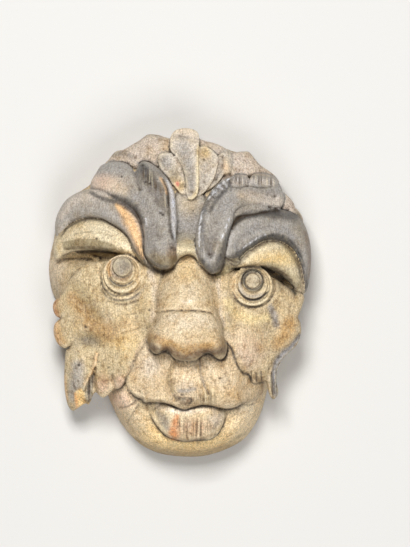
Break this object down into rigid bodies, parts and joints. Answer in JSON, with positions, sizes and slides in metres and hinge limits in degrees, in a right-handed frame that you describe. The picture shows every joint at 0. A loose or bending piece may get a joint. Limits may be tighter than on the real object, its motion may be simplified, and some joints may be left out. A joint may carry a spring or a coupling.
{
  "type": "foliate mask",
  "caption": "Carved wooden foliate mask: a grotesque face of leaves with stepped disc eyes, worn paint and a flat back for fixing.",
  "frame": {"origin": "on the flat back, between the chin and the crest", "axes": "+X to the viewer's right, +Y from the chin to the crest, +Z out of the face"},
  "size_m": [0.2226, 0.279, 0.1266],
  "materials": {
    "painted_wood": "worn matt paint"
  },
  "bodies": {
    "root": {"foliate_mask": "painted_wood"}
  },
  "joints": []
}
